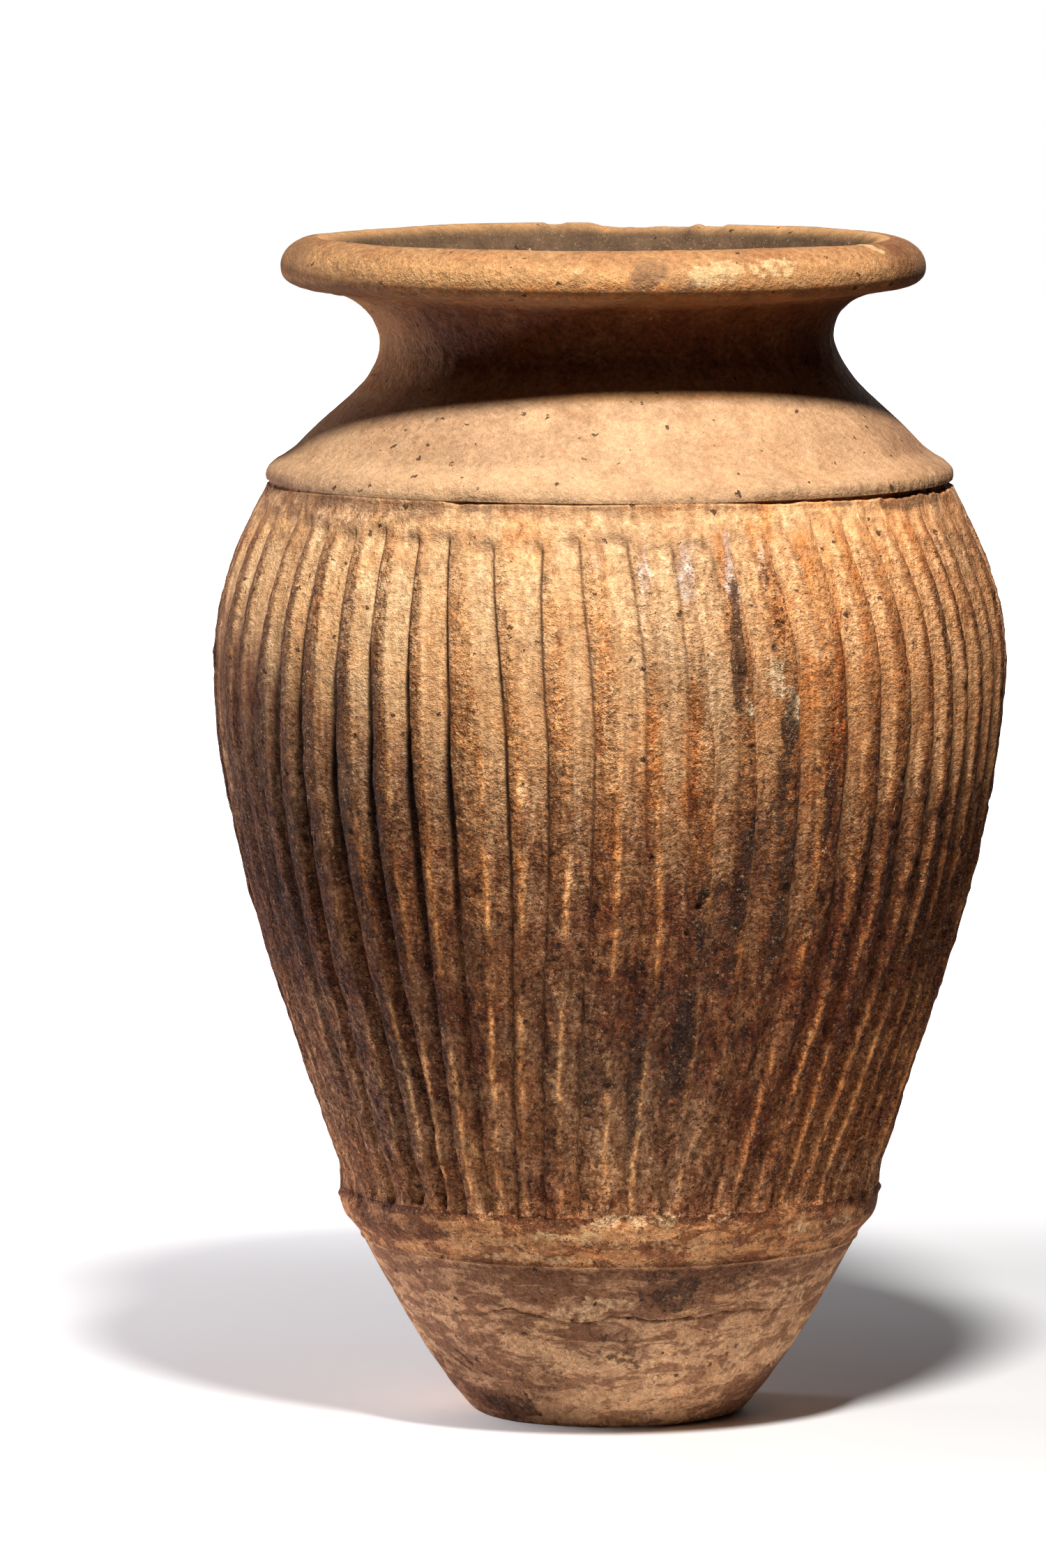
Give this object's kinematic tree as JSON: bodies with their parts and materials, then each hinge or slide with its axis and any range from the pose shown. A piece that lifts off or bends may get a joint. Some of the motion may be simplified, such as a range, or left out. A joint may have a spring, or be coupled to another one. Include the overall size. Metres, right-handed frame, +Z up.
{
  "type": "pithos",
  "caption": "Large coil-built clay storage jar: rolled rim, waisted neck, lipped shoulder, belly with upright finger-drawn flutes, lower cordon and a foot that tapers to a small flat base.",
  "frame": {"origin": "centre of the flat face that the jar rests on", "axes": "+Z up along the jar's axis; the pictured side faces -Y"},
  "size_m": [0.5712, 0.5712, 0.849],
  "materials": {
    "foot_clay": "unglazed, worn and fire-clouded",
    "cordon_clay": "unglazed, wiped smooth",
    "belly_clay": "unglazed, gritty crests and wiped flutes",
    "shoulder_clay": "unglazed, wiped smooth",
    "rim_clay": "unglazed, wiped smooth"
  },
  "bodies": {
    "root": {"base_slab": "foot_clay", "foot_course": "foot_clay", "lower_wall_course": "foot_clay", "lower_cordon": "cordon_clay", "lower_belly_course": "belly_clay", "middle_belly_course": "belly_clay", "upper_belly_course": "belly_clay", "shoulder_cordon": "shoulder_clay", "shoulder_course": "shoulder_clay", "neck_collar": "rim_clay", "rim_ring": "rim_clay"}
  },
  "joints": []
}
